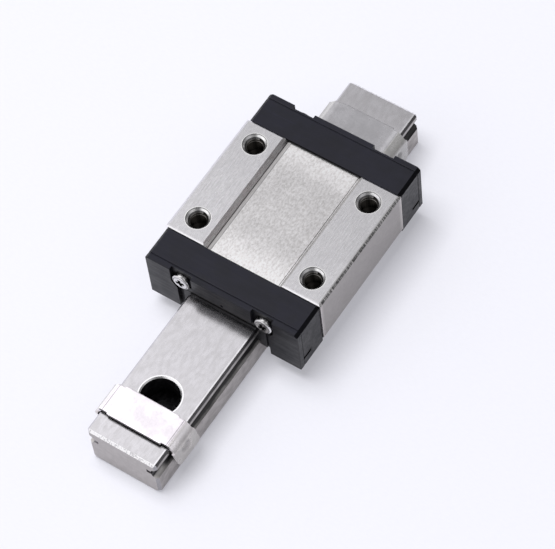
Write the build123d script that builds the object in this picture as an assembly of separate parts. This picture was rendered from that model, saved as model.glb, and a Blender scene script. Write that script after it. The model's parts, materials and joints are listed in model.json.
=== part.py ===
from build123d import *
import math
import os

# Miniature profile-rail linear guide, 12 mm size: one rail, one short carriage, two rail-end clips.
# Millimetres. +X runs along the rail, +Z is up, and the origin is the centre of the rail's
# underside. "front" is the -X end, "left" is the +Y side.

os.makedirs("parts", exist_ok=True)

# ---------------------------------------------------------------- rail
RAIL_LENGTH = 70.0
RAIL_WIDTH = 12.0
RAIL_HEIGHT = 8.0
RAIL_TOP_CHAMFER = 0.3
RAIL_FOOT_CHAMFER = 0.6
RAIL_END_CHAMFER = 0.4
RAIL_HOLE_PITCH = 25.0
RAIL_HOLE_DIA = 3.5
RAIL_CBORE_DIA = 6.0
RAIL_CBORE_DEPTH = 4.5
RAIL_CBORE_CHAMFER = 0.2

# ---------------------------------------------------------------- ball tracks
BALL_DIA = 2.381                    # 3/32 inch
BALLS_PER_CIRCUIT = 21
TRACK_Z = 5.6                       # height of all ball centres
LOADED_Y = 6.15                     # loaded lane, between rail and block
RETURN_Y = 10.2                     # return bore inside the block
GROOVE_RADIUS = 1.24
RETURN_RADIUS = 1.26
TURN_RADIUS = (RETURN_Y - LOADED_Y) / 2
TURN_Y = (RETURN_Y + LOADED_Y) / 2
WIRE_SLOT_Y = 4.2                   # bottom of the relief slot for the retainer wire
WIRE_SLOT_HALF = 0.35
WIRE_DIA = 0.5
WIRE_Y = 4.65
WIRE_END_X = 14.9
WIRE_TAIL_Y = 8.0
WIRE_BEND = 0.8

# ---------------------------------------------------------------- carriage
CARRIAGE_X = 7.8                    # carriage centre when at rest, along the rail
BLOCK_LENGTH = 21.7
BLOCK_WIDTH = 27.0
BLOCK_TOP = 13.0
BLOCK_BOTTOM = 3.6
BLOCK_EDGE_CHAMFER = 0.45
BLOCK_END_CHAMFER = 0.3             # on the top edge at both ends
CHANNEL_HALF = 6.35
CHANNEL_TOP = 8.6
RECESS_FLOOR = 12.1                 # sunken middle of the block's top
RECESS_FLOOR_HALF = 6.35
RECESS_TOP_HALF = 7.0
RECESS_LINE = 0.25                  # relief line at the foot of each recess wall
BOLT_SPACING_X = 15.0
BOLT_SPACING_Y = 20.0
BOLT_DIA = 3.0
BOLT_DEPTH = 3.5
BOLT_CHAMFER = 0.4

# ---------------------------------------------------------------- end caps and seals
CAP_THICKNESS = 4.85
CAP_HALF_WIDTH = 13.3
CAP_TOP = 12.6
CAP_BOTTOM = 3.0
CAP_TOP_CHAMFER = 0.5
CAP_CHANNEL_HALF = 6.5
CAP_CHANNEL_TOP = 8.6
CAP_FOOT_CHAMFER = 0.6
GUIDE_HALF_HEIGHT = 1.5
GUIDE_GAP = 0.02
SIDE_SLOT_LENGTH = 1.8
SIDE_SLOT_HEIGHT = 0.5
SIDE_SLOT_Z = 5.0
SIDE_SLOT_DEPTH = 0.6
PLATE_THICKNESS = 1.0
PLATE_POCKET_DEPTH = 0.65
PLATE_POCKET_IN = 5.2               # pocket round each screw head
PLATE_POCKET_OUT = 8.9
PLATE_POCKET_LOW_OUT = 8.0          # where the pocket runs on down to the plate's foot
PLATE_OPENING_HALF = 7.2
PLATE_OPENING_TOP = 9.3
PLATE_OPENING_CORNER = 1.4          # bevel that clears the screw heads
PLATE_EDGE_CHAMFER = 0.15
GREASE_HOLE_DIA = 0.5
GREASE_HOLE_Z = 9.7
WIPER_THICKNESS = 0.6
WIPER_GAP = 0.06                    # between the wiper's lip and the rail
BOTTOM_SEAL_THICKNESS = 0.3
BOTTOM_SEAL_INNER = 6.1
BOTTOM_SEAL_OUTER = 8.6
SCREW_Y = 7.2
SCREW_Z = 10.15
SCREW_DIA = 2.0
SCREW_CLEARANCE_DIA = 2.2
SCREW_REACH = 4.5                   # thread engagement in the block
SCREW_HEAD_DIA = 3.0
SCREW_HEAD_HEIGHT = 0.8
SCREW_HEAD_FILLET = 0.3
SCREW_RECESS = 0.5                  # depth of the cross recess
SCREW_CROSS = (1.6, 0.38)           # length and width of its arms

# ---------------------------------------------------------------- rail-end clips
CLIP_LENGTH = 5.2
CLIP_SHEET = 0.45
CLIP_TOP_GAP = 0.38                 # above the rail
CLIP_CREASE_Y = 5.95                # where the flat top ends
CLIP_CREASE_RADIUS = 0.5
CLIP_HALF_WIDTH = 6.95
CLIP_SHOULDER_Z = 7.3               # the legs drop straight from here
CLIP_SHOULDER_RADIUS = 1.2
CLIP_FOOT_Z = 2.8
CLIP_BEAD_RADIUS = 1.2
CLIP_NOTCH = 0.25
CLIP_NOTCH_FROM_Y = 4.7
FRONT_CLIP_LEAN = 0.8               # how far the front clip's legs lean along the rail
REAR_CLIP_LEAN = 0.0
FRONT_CLIP_X = -31.7                # low-X edge of each clip
REAR_CLIP_X = 25.3

BLOCK_HALF = BLOCK_LENGTH / 2
CAP_OUTER = BLOCK_HALF + CAP_THICKNESS
PLATE_OUTER = CAP_OUTER + PLATE_THICKNESS
POCKET_FLOOR = PLATE_OUTER - PLATE_POCKET_DEPTH
SIDES = {"left": 1, "right": -1}


def block(x, y, z):
    """Box from (low, high) pairs along X, Y and Z."""
    size = [high - low for low, high in (x, y, z)]
    return Pos((x[0] + x[1]) / 2, (y[0] + y[1]) / 2, (z[0] + z[1]) / 2) * Box(*size)


def rod_x(radius, x, y, z):
    """Cylinder along X between the two values in x."""
    return Pos((x[0] + x[1]) / 2, y, z) * Rot(0, 90, 0) * Cylinder(radius, x[1] - x[0])


def rod_z(radius, x, y, z):
    """Cylinder along Z between the two values in z."""
    return Pos(x, y, (z[0] + z[1]) / 2) * Cylinder(radius, z[1] - z[0])


def cone_z(low_radius, high_radius, x, y, z):
    """Cone along Z between the two values in z."""
    return Pos(x, y, (z[0] + z[1]) / 2) * Cone(low_radius, high_radius, z[1] - z[0])


def prism_x(points, x):
    """Straight bar along X whose section is the closed outline points in Y, Z."""
    section = Plane.YZ.offset(x[0]) * make_face(Polyline(*points, close=True))
    return extrude(section, x[1] - x[0], dir=(1, 0, 0))


def both_sides(outline):
    """Outline on the +Y side, closed by its mirror image on the -Y side."""
    return outline + [(-y, z) for y, z in reversed(outline)]


def mirrored_y(solid):
    return mirror(solid, about=Plane.XZ)


def front(solid):
    """Front-end copy of a part that was made for the rear end."""
    return mirror(solid, about=Plane.YZ)


def on_carriage(solid):
    return Pos(CARRIAGE_X, 0, 0) * solid


def save(name, solids):
    """Write one node; several identical pieces are kept as separate solids."""
    group = solids if isinstance(solids, list) else list(solids.solids())
    shape = group[0] if len(group) == 1 else Compound(children=group)
    export_step(shape, f"parts/{name}.step")


# ---------------------------------------------------------------- rail
def rail_outline(gap=0.0):
    """Section of the rail above its foot, grown by a gap, without the ball grooves."""
    half = RAIL_WIDTH / 2 + gap
    top = RAIL_HEIGHT + gap
    return both_sides([(half, -1.0), (half, top - RAIL_TOP_CHAMFER), (half - RAIL_TOP_CHAMFER, top)])


def make_rail():
    half_length = RAIL_LENGTH / 2
    half = RAIL_WIDTH / 2
    ends = (-half_length, half_length)
    outline = both_sides([
        (half - RAIL_FOOT_CHAMFER, 0),
        (half, RAIL_FOOT_CHAMFER),
        (half, RAIL_HEIGHT - RAIL_TOP_CHAMFER),
        (half - RAIL_TOP_CHAMFER, RAIL_HEIGHT),
    ])
    rail = prism_x(outline, ends)
    end_faces = rail.faces().sort_by(Axis.X)
    rail = chamfer(end_faces[0].edges() + end_faces[-1].edges(), RAIL_END_CHAMFER)
    for side in SIDES.values():
        rail -= rod_x(GROOVE_RADIUS, ends, side * LOADED_Y, TRACK_Z)
        slot_y = sorted((side * WIRE_SLOT_Y, side * LOADED_Y))
        rail -= block(ends, slot_y, (TRACK_Z - WIRE_SLOT_HALF, TRACK_Z + WIRE_SLOT_HALF))
    for i in (-1, 0, 1):
        x = i * RAIL_HOLE_PITCH
        seat = RAIL_HEIGHT - RAIL_CBORE_DEPTH
        rim = RAIL_CBORE_DIA / 2
        rail -= rod_z(RAIL_HOLE_DIA / 2, x, 0, (0, RAIL_HEIGHT))
        rail -= rod_z(rim, x, 0, (seat, RAIL_HEIGHT))
        rail -= cone_z(rim, rim + RAIL_CBORE_CHAMFER, x, 0, (RAIL_HEIGHT - RAIL_CBORE_CHAMFER, RAIL_HEIGHT))
    return rail


# ---------------------------------------------------------------- clips
def clip_section():
    """Sheet bent over the rail in Y, Z, with a bead that reaches into each ball groove."""
    top = RAIL_HEIGHT + CLIP_TOP_GAP + CLIP_SHEET
    outline = both_sides([(CLIP_HALF_WIDTH, -5), (CLIP_HALF_WIDTH, CLIP_SHOULDER_Z), (CLIP_CREASE_Y, top)])
    shell = make_face(Polyline(*outline, close=True))
    shell = fillet(shell.vertices().group_by(Axis.Y)[1], CLIP_SHOULDER_RADIUS)
    shell = fillet(shell.vertices().group_by(Axis.Y)[-1], CLIP_CREASE_RADIUS)
    section = shell - offset(shell, -CLIP_SHEET) - Pos(0, CLIP_FOOT_Z - 10) * Rectangle(40, 20)
    middle = CLIP_HALF_WIDTH - CLIP_SHEET / 2
    for side in SIDES.values():
        bead = Pos(side * middle, TRACK_Z) * Circle(CLIP_BEAD_RADIUS)
        dent = Pos(side * middle, TRACK_Z) * Circle(CLIP_BEAD_RADIUS - CLIP_SHEET)
        inside = Pos(side * (CLIP_HALF_WIDTH - 5), TRACK_Z) * Rectangle(10, 4)
        section = section + (bead & inside) - dent
    return section


def make_clip(x, lean):
    """Rail-end clip whose low-X edge is at x; its legs lean towards +X below the shoulders."""
    top = RAIL_HEIGHT + CLIP_TOP_GAP + CLIP_SHEET
    clip = extrude(Plane.YZ.offset(x) * clip_section(), CLIP_LENGTH + lean, dir=(1, 0, 0))
    side_view = Polyline(
        (x, top),
        (x + CLIP_LENGTH, top),
        (x + CLIP_LENGTH, CLIP_SHOULDER_Z),
        (x + CLIP_LENGTH + lean, CLIP_FOOT_Z),
        (x + lean, CLIP_FOOT_Z),
        (x, CLIP_SHOULDER_Z),
        close=True,
    )
    clip &= extrude(Plane.XZ * make_face(side_view), RAIL_WIDTH, both=True)
    for side in SIDES.values():
        span = sorted((side * CLIP_NOTCH_FROM_Y, side * RAIL_WIDTH))
        for edge in ((x, x + CLIP_NOTCH), (x + CLIP_LENGTH - CLIP_NOTCH, x + CLIP_LENGTH)):
            clip -= block(edge, span, (CLIP_SHOULDER_Z, top))
    return clip


# ---------------------------------------------------------------- carriage block
def bolt_positions():
    return [
        (sx * BOLT_SPACING_X / 2, sy * BOLT_SPACING_Y / 2)
        for sx in (-1, 1)
        for sy in (-1, 1)
    ]


def end_bevel(x):
    """Wedge that bevels the block's top edge at one end."""
    inward = math.copysign(BLOCK_END_CHAMFER, -x)
    wedge = Polyline(
        (x + inward, BLOCK_TOP),
        (x, BLOCK_TOP - BLOCK_END_CHAMFER),
        (x - inward, BLOCK_TOP - BLOCK_END_CHAMFER),
        (x - inward, BLOCK_TOP + BLOCK_END_CHAMFER),
        (x + inward, BLOCK_TOP + BLOCK_END_CHAMFER),
        close=True,
    )
    return extrude(Plane.XZ * make_face(wedge), BLOCK_WIDTH, both=True)


def make_carriage_block():
    half = BLOCK_WIDTH / 2
    ends = (-BLOCK_HALF, BLOCK_HALF)
    outline = both_sides([
        (CHANNEL_HALF, CHANNEL_TOP),
        (CHANNEL_HALF, BLOCK_BOTTOM),
        (half - BLOCK_EDGE_CHAMFER, BLOCK_BOTTOM),
        (half, BLOCK_BOTTOM + BLOCK_EDGE_CHAMFER),
        (half, BLOCK_TOP - BLOCK_EDGE_CHAMFER),
        (half - BLOCK_EDGE_CHAMFER, BLOCK_TOP),
        (RECESS_TOP_HALF, BLOCK_TOP),
        (RECESS_FLOOR_HALF, RECESS_FLOOR),
    ])
    body = prism_x(outline, ends)
    for end in ends:
        body -= end_bevel(end)
    for side in SIDES.values():
        line_y = sorted((side * (RECESS_FLOOR_HALF - RECESS_LINE), side * RECESS_FLOOR_HALF))
        body -= block(ends, line_y, (RECESS_FLOOR - 0.12, RECESS_FLOOR + 0.1))
        body -= rod_x(GROOVE_RADIUS, ends, side * LOADED_Y, TRACK_Z)
        body -= rod_x(RETURN_RADIUS, ends, side * RETURN_Y, TRACK_Z)
        for end in (-1, 1):
            reach = sorted((end * (BLOCK_HALF - SCREW_REACH), end * BLOCK_HALF))
            body -= rod_x(SCREW_DIA / 2, reach, side * SCREW_Y, SCREW_Z)
    radius = BOLT_DIA / 2
    for x, y in bolt_positions():
        bottom = BLOCK_TOP - BOLT_DEPTH
        body -= rod_z(radius, x, y, (bottom, BLOCK_TOP))
        body -= cone_z(0.05, radius, x, y, (bottom - 0.8, bottom))
        body -= cone_z(radius, radius + BOLT_CHAMFER, x, y, (BLOCK_TOP - BOLT_CHAMFER, BLOCK_TOP))
    return body


# ---------------------------------------------------------------- end caps, made for the rear end
def turn_tube(radius):
    """Round channel that takes the balls from the loaded lane to the return bore."""
    return Pos(BLOCK_HALF, TURN_Y, TRACK_Z) * Torus(TURN_RADIUS, radius)


def turn_disc(radius, half_height):
    z = (TRACK_Z - half_height, TRACK_Z + half_height)
    return rod_z(radius, BLOCK_HALF, TURN_Y, z) & block(
        (BLOCK_HALF, BLOCK_HALF + 10), (0, 20), (0, 20)
    )


def cap_outline(channel_half, channel_top, corner=0.0):
    arch = [(channel_half - corner, channel_top)] if corner else []
    return both_sides(arch + [
        (channel_half, channel_top - corner),
        (channel_half, CAP_BOTTOM + CAP_FOOT_CHAMFER),
        (channel_half + CAP_FOOT_CHAMFER, CAP_BOTTOM),
        (CAP_HALF_WIDTH, CAP_BOTTOM),
        (CAP_HALF_WIDTH, CAP_TOP - CAP_TOP_CHAMFER),
        (CAP_HALF_WIDTH - CAP_TOP_CHAMFER, CAP_TOP),
    ])


def make_end_cap():
    span = (BLOCK_HALF, CAP_OUTER)
    cap = prism_x(cap_outline(CAP_CHANNEL_HALF, CAP_CHANNEL_TOP), span)
    pocket = turn_disc(TURN_RADIUS, GUIDE_HALF_HEIGHT) + turn_tube(RETURN_RADIUS)
    tail = Pos(WIRE_END_X, (CAP_CHANNEL_HALF + WIRE_TAIL_Y) / 2, TRACK_Z) * Rot(90, 0, 0) * Cylinder(
        WIRE_DIA / 2 + 0.05, WIRE_TAIL_Y - CAP_CHANNEL_HALF + 1.0
    )
    slot_x = (CAP_OUTER - SIDE_SLOT_LENGTH, CAP_OUTER)
    slot = block(
        slot_x,
        (CAP_HALF_WIDTH - SIDE_SLOT_DEPTH, CAP_HALF_WIDTH + 1),
        (SIDE_SLOT_Z - SIDE_SLOT_HEIGHT / 2, SIDE_SLOT_Z + SIDE_SLOT_HEIGHT / 2),
    )
    screw_hole = rod_x(SCREW_CLEARANCE_DIA / 2, span, SCREW_Y, SCREW_Z)
    for cut in (pocket, tail, slot, screw_hole):
        cap = cap - cut - mirrored_y(cut)
    return cap - rod_x(GREASE_HOLE_DIA / 2, (CAP_OUTER - 2, CAP_OUTER), 0, GREASE_HOLE_Z)


def make_return_guide():
    """Half spool that forms the inner side of one ball turn."""
    spool = turn_disc(TURN_RADIUS - GUIDE_GAP, GUIDE_HALF_HEIGHT - GUIDE_GAP)
    return spool - turn_tube(RETURN_RADIUS)


def make_seal_plate():
    span = (CAP_OUTER, PLATE_OUTER)
    plate = prism_x(cap_outline(PLATE_OPENING_HALF, PLATE_OPENING_TOP, PLATE_OPENING_CORNER), span)
    edges = plate.faces().sort_by(Axis.X)[-1].edges()
    outer = [e for e in edges if abs(e.center().Y) > CAP_HALF_WIDTH - CAP_TOP_CHAMFER or e.center().Z > CAP_TOP - 0.01]
    plate = chamfer(outer, PLATE_EDGE_CHAMFER)
    pocket = prism_x([
        (PLATE_POCKET_IN, CAP_TOP + 1),
        (PLATE_POCKET_OUT, CAP_TOP + 1),
        (PLATE_POCKET_OUT, SCREW_Z - SCREW_HEAD_DIA / 4),
        (PLATE_POCKET_LOW_OUT, SCREW_Z - SCREW_HEAD_DIA / 2 - 0.5),
        (PLATE_POCKET_LOW_OUT, CAP_BOTTOM - 1),
        (PLATE_POCKET_IN, CAP_BOTTOM - 1),
    ], (POCKET_FLOOR, PLATE_OUTER + 1))
    screw_hole = rod_x(SCREW_CLEARANCE_DIA / 2, span, SCREW_Y, SCREW_Z)
    for cut in (pocket, screw_hole):
        plate = plate - cut - mirrored_y(cut)
    return plate - rod_x(GREASE_HOLE_DIA / 2, span, 0, GREASE_HOLE_Z)


def make_wiper():
    """Rubber lip that follows the rail's section and scrapes it clean."""
    span = (CAP_OUTER, CAP_OUTER + WIPER_THICKNESS)
    outline = both_sides([
        (PLATE_OPENING_HALF, CAP_BOTTOM + CAP_FOOT_CHAMFER),
        (PLATE_OPENING_HALF, PLATE_OPENING_TOP - PLATE_OPENING_CORNER),
        (PLATE_OPENING_HALF - PLATE_OPENING_CORNER, PLATE_OPENING_TOP),
    ])
    rail_shape = prism_x(rail_outline(WIPER_GAP), span)
    for side in SIDES.values():
        rail_shape -= rod_x(GROOVE_RADIUS - WIPER_GAP, span, side * LOADED_Y, TRACK_Z)
    return prism_x(outline, span) - rail_shape


def make_bottom_seal():
    ends = (-BLOCK_HALF, BLOCK_HALF)
    return block(ends, (BOTTOM_SEAL_INNER, BOTTOM_SEAL_OUTER), (BLOCK_BOTTOM - BOTTOM_SEAL_THICKNESS, BLOCK_BOTTOM))


def make_screw():
    head = rod_x(SCREW_HEAD_DIA / 2, (POCKET_FLOOR, POCKET_FLOOR + SCREW_HEAD_HEIGHT), SCREW_Y, SCREW_Z)
    head = fillet(head.faces().sort_by(Axis.X)[-1].edges(), SCREW_HEAD_FILLET)
    tip = POCKET_FLOOR + SCREW_HEAD_HEIGHT
    for width, height in (SCREW_CROSS, SCREW_CROSS[::-1]):
        head -= block(
            (tip - SCREW_RECESS, tip + 1),
            (SCREW_Y - width / 2, SCREW_Y + width / 2),
            (SCREW_Z - height / 2, SCREW_Z + height / 2),
        )
    return head + rod_x(SCREW_DIA / 2, (BLOCK_HALF - SCREW_REACH, POCKET_FLOOR), SCREW_Y, SCREW_Z)


# ---------------------------------------------------------------- balls and their retainer wire
def make_retainer_wire():
    """Wire that lies in the rail's groove and turns outward into both end caps."""
    path = FilletPolyline(
        (-WIRE_END_X, WIRE_TAIL_Y, TRACK_Z),
        (-WIRE_END_X, WIRE_Y, TRACK_Z),
        (WIRE_END_X, WIRE_Y, TRACK_Z),
        (WIRE_END_X, WIRE_TAIL_Y, TRACK_Z),
        radius=WIRE_BEND,
    )
    section = Plane(path @ 0, z_dir=path % 0) * Circle(WIRE_DIA / 2)
    return sweep(section, path=path)


def ball_centre(distance):
    """Point on the left circuit, and the lane it lies in, a distance along the closed loop."""
    turn = math.pi * TURN_RADIUS
    if distance < BLOCK_LENGTH:
        return "loaded", distance - BLOCK_HALF, LOADED_Y
    distance -= BLOCK_LENGTH
    if distance < turn:
        angle = distance / TURN_RADIUS
        return "rear_turn", BLOCK_HALF + TURN_RADIUS * math.sin(angle), TURN_Y - TURN_RADIUS * math.cos(angle)
    distance -= turn
    if distance < BLOCK_LENGTH:
        return "return", BLOCK_HALF - distance, RETURN_Y
    angle = (distance - BLOCK_LENGTH) / TURN_RADIUS
    return "front_turn", -BLOCK_HALF - TURN_RADIUS * math.sin(angle), TURN_Y + TURN_RADIUS * math.cos(angle)


def ball_groups():
    """Balls of the left circuit, grouped by lane, evenly spaced around the loop."""
    loop = 2 * BLOCK_LENGTH + 2 * math.pi * TURN_RADIUS
    pitch = loop / BALLS_PER_CIRCUIT
    groups = {}
    for i in range(BALLS_PER_CIRCUIT):
        lane, x, y = ball_centre((i + 0.5) * pitch)
        groups.setdefault(lane, []).append(Pos(x, y, TRACK_Z) * Sphere(BALL_DIA / 2))
    return groups


# ---------------------------------------------------------------- nodes
save("rail", make_rail())
save("front_clip", make_clip(FRONT_CLIP_X, FRONT_CLIP_LEAN))
save("rear_clip", make_clip(REAR_CLIP_X, REAR_CLIP_LEAN))
save("carriage_block", on_carriage(make_carriage_block()))

for name, piece in (
    ("end_cap", make_end_cap()),
    ("seal_plate", make_seal_plate()),
    ("wiper", make_wiper()),
):
    save(f"rear_{name}", on_carriage(piece))
    save(f"front_{name}", on_carriage(front(piece)))

guide = make_return_guide()
screw = make_screw()
wire = make_retainer_wire()
bottom_seal = make_bottom_seal()
balls = ball_groups()
for side_name, side in SIDES.items():
    def to_side(solid):
        return on_carriage(solid if side > 0 else mirrored_y(solid))

    save(f"rear_{side_name}_return_guide", to_side(guide))
    save(f"front_{side_name}_return_guide", to_side(front(guide)))
    save(f"rear_{side_name}_cap_screw", to_side(screw))
    save(f"front_{side_name}_cap_screw", to_side(front(screw)))
    save(f"{side_name}_retainer_wire", to_side(wire))
    save(f"{side_name}_bottom_seal", to_side(bottom_seal))
    for lane, group in balls.items():
        save(f"{side_name}_{lane}_balls", [to_side(ball) for ball in group])
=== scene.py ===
"""Miniature linear guide: materials, fine detail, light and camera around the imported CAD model."""
import bpy
import bmesh
import json
import math
from mathutils import Matrix, Vector


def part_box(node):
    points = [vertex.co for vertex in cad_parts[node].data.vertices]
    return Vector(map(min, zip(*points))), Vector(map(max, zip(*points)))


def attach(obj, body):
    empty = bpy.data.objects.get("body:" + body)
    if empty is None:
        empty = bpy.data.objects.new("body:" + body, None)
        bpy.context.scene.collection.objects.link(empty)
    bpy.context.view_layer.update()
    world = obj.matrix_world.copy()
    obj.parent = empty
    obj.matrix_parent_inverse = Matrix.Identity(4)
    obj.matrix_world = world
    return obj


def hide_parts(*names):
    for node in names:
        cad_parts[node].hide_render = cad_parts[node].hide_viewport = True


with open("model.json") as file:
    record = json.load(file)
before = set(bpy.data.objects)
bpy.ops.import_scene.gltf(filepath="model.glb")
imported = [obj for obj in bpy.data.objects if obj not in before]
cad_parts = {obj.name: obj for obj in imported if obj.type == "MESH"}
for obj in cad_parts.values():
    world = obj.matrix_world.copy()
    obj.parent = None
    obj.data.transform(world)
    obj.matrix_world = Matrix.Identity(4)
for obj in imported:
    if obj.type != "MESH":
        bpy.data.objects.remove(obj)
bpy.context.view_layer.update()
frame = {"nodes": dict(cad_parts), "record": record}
nodes = frame["nodes"]
MM = 0.001

# ------------------------------------------------------------------ places read from the frame
block_low, block_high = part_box("carriage_block")
rail_low, rail_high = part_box("rail")
block_centre = (block_low + block_high) / 2
block_size = block_high - block_low
screw_low, screw_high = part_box("front_left_cap_screw")
screw_at = (screw_low + screw_high) / 2
mounts = {m["name"]: m for m in frame["record"]["mounts"]}


def pattern_holes(name):
    """Hole centres of a bolt pattern that faces up."""
    mount = mounts[name]
    dims = mount["dims"]
    centre = Vector(mount["pos_m"])
    pitch_x = dims["spacing_x_mm"] * MM
    if "spacing_y_mm" not in dims:
        # a row names its two end holes, and one more lies midway between them
        return [centre + Vector((i * pitch_x / 2, 0, 0)) for i in (-1, 0, 1)]
    pitch_y = dims["spacing_y_mm"] * MM
    return [
        centre + Vector((i * pitch_x, j * pitch_y, 0))
        for i in (-0.5, 0.5) for j in (-0.5, 0.5)
    ]


# ------------------------------------------------------------------ sizes as built
GROOVE_Y = 6.15 * MM                # axis of the rail's ball grooves
GROOVE_Z = 5.6 * MM
GROOVE_RADIUS = 1.24 * MM
SLOT_MOUTH_Y = 5.2 * MM             # further in lies the slot for the retainer wire
COUNTERBORE_RADIUS = 3.0 * MM
RECESS_HALF = 6.35 * MM             # half the width of the block's sunken middle
TAP_RADIUS = 1.5 * MM               # the block's threaded holes
TAP_CREST_RADIUS = 1.25 * MM
TAP_MOUTH_RADIUS = 1.9 * MM
CAP_SIDE_Y = 13.3 * MM
CAP_JOINT_X = 15.7 * MM             # between cap and seal plate, from the carriage's middle
CAP_SLOT_Z = 5.0 * MM               # small slots low in the caps' sides
CAP_SLOT_LENGTH = 1.9 * MM          # of the black patch of painted shade, which reaches a little past the slot
CAP_SLOT_HALF = 0.4 * MM            # half its height
WIPER_SHADE_LINES_Z = ((9.08 * MM, 9.4 * MM), (8.0 * MM, 8.3 * MM))
SCREW_HEAD_RADIUS = 1.5 * MM
CLIP_CREASE_Y = {"front_clip": 5.95 * MM, "rear_clip": 5.6 * MM}

# painted shade: how much of its colour each kind of upright face keeps
RAIL_SIDE_SHADE = 0.72
RAIL_END_SHADE = 0.68
BLOCK_SIDE_SHADE = 0.53

GROOVE_SHADE_X = 24.5 * MM          # behind this the rail's grooves are dark to their foot
CAP_END_SHADE_Y = (-13 * MM, 9 * MM)     # painted shade: the caps' end faces go from darkened to glossy between these
HALVES_BLEND = 0.1 * MM             # over which left-hand and right-hand tones meet
SHARP = 0.04 * MM                   # soft width of a crisp line


# ------------------------------------------------------------------ shader helpers
class Shader:
    """A principled material with short calls for its procedural nodes."""

    def __init__(self, name, color, roughness, metallic=0.0, **sockets):
        self.material = bpy.data.materials.new(name)
        self.material.use_nodes = True
        self.tree = self.material.node_tree
        self.bsdf = self.tree.nodes["Principled BSDF"]
        self.bsdf.inputs["Base Color"].default_value = (*color, 1)
        self.bsdf.inputs["Roughness"].default_value = roughness
        self.bsdf.inputs["Metallic"].default_value = metallic
        for key, value in sockets.items():
            self.bsdf.inputs[key.replace("_", " ")].default_value = value
        self.coords = self.tree.nodes.new("ShaderNodeTexCoord").outputs["Object"]

    def link(self, source, target):
        self.tree.links.new(source, target)

    def feed(self, socket, value):
        """Give a socket a number or another socket's output."""
        if isinstance(value, (int, float)):
            socket.default_value = value
        else:
            self.link(value, socket)

    def feed_color(self, socket, value):
        """Give a socket a colour tuple or another socket's output."""
        if isinstance(value, tuple):
            socket.default_value = (*value, 1)
        else:
            self.link(value, socket)

    # places and directions on the surface
    def split(self, vector):
        node = self.tree.nodes.new("ShaderNodeSeparateXYZ")
        self.link(vector, node.inputs[0])
        return tuple(node.outputs)

    def axes(self):
        return self.split(self.coords)

    def normal_axes(self):
        geometry = self.tree.nodes.new("ShaderNodeNewGeometry")
        return self.split(geometry.outputs["True Normal"])

    def noise(self, scale, detail=3.0, rough=0.5, stretch=(1, 1, 1), distortion=0.0):
        """Noise with a feature size of about 1/scale metres, stretched per axis."""
        mapping = self.tree.nodes.new("ShaderNodeMapping")
        mapping.inputs["Scale"].default_value = [scale * s for s in stretch]
        self.link(self.coords, mapping.inputs["Vector"])
        node = self.tree.nodes.new("ShaderNodeTexNoise")
        node.inputs["Scale"].default_value = 1.0
        node.inputs["Detail"].default_value = detail
        node.inputs["Roughness"].default_value = rough
        node.inputs["Distortion"].default_value = distortion
        self.link(mapping.outputs["Vector"], node.inputs["Vector"])
        return node.outputs["Fac"]

    # arithmetic
    def math(self, operation, a, b=0.0, clamp=False):
        node = self.tree.nodes.new("ShaderNodeMath")
        node.operation = operation
        node.use_clamp = clamp
        for socket, value in zip(node.inputs, (a, b)):
            self.feed(socket, value)
        return node.outputs[0]

    def plus(self, a, b):
        return self.math("ADD", a, b)

    def minus(self, a, b):
        return self.math("SUBTRACT", a, b)

    def times(self, a, b):
        return self.math("MULTIPLY", a, b)

    def size_of(self, value):
        return self.math("ABSOLUTE", value)

    def distance(self, a, a0, b, b0):
        """Distance from the point a0, b0 in the plane of two coordinates."""
        da = self.minus(a, a0)
        db = self.minus(b, b0)
        return self.math("SQRT", self.plus(self.times(da, da), self.times(db, db)))

    def ramp(self, fac, low, high, to_low=0.0, to_high=1.0, smooth=True):
        """From to_low where fac is low to to_high where fac is high."""
        node = self.tree.nodes.new("ShaderNodeMapRange")
        node.interpolation_type = "SMOOTHSTEP" if smooth else "LINEAR"
        keys = ("Value", "From Min", "From Max", "To Min", "To Max")
        for key, value in zip(keys, (fac, low, high, to_low, to_high)):
            self.feed(node.inputs[key], value)
        return node.outputs["Result"]

    # masks
    def fall(self, fac, low, high, floor=0.0):
        """1 below low, down to floor above high."""
        return self.ramp(fac, low, high, 1.0, floor)

    def band(self, value, low, high, soft):
        """Mask of 1 from low to high, fading out over soft on both sides."""
        return self.times(self.ramp(value, low - soft, low), self.fall(value, high, high + soft))

    def upper(self, noise, half):
        """Mask of the upper half of a noise, blended over half on each side of its middle."""
        return self.ramp(noise, 0.5 - half, 0.5 + half)

    def square(self, facing):
        """Mask of the faces square to an axis, from the size of their normal along it."""
        return self.ramp(facing, 0.9, 0.97)

    def slanted(self, facing):
        """Mask of the chamfers about half-way off an axis."""
        return self.band(facing, 0.5, 0.9, 0.05)

    def all_of(self, *masks):
        product = masks[0]
        for mask in masks[1:]:
            product = self.times(product, mask)
        return product

    def any_of(self, *masks):
        largest = masks[0]
        for mask in masks[1:]:
            largest = self.math("MAXIMUM", largest, mask)
        return largest

    # colours
    def mix(self, fac, a, b):
        """Blend of two colours (tuples or sockets)."""
        node = self.tree.nodes.new("ShaderNodeMix")
        node.data_type = "RGBA"
        self.feed(node.inputs["Factor"], fac)
        self.feed_color(node.inputs[6], a)
        self.feed_color(node.inputs[7], b)
        return node.outputs[2]

    def tint(self, tone, mask, color):
        """Multiply a colour by another where the mask is 1."""
        node = self.tree.nodes.new("ShaderNodeMix")
        node.data_type = "RGBA"
        node.blend_type = "MULTIPLY"
        self.feed(node.inputs["Factor"], mask)
        self.feed_color(node.inputs[6], tone)
        self.feed_color(node.inputs[7], color)
        return node.outputs[2]

    def shade(self, tone, mask, gain):
        """Multiply a colour by gain where the mask is 1."""
        node = self.tree.nodes.new("ShaderNodeVectorMath")
        node.operation = "SCALE"
        self.link(tone, node.inputs[0])
        self.link(self.ramp(mask, 0.0, 1.0, 1.0, gain, smooth=False), node.inputs["Scale"])
        return node.outputs[0]

    # what the surface gets
    def color(self, socket):
        self.link(socket, self.bsdf.inputs["Base Color"])

    def roughness(self, socket):
        self.link(socket, self.bsdf.inputs["Roughness"])

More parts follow.
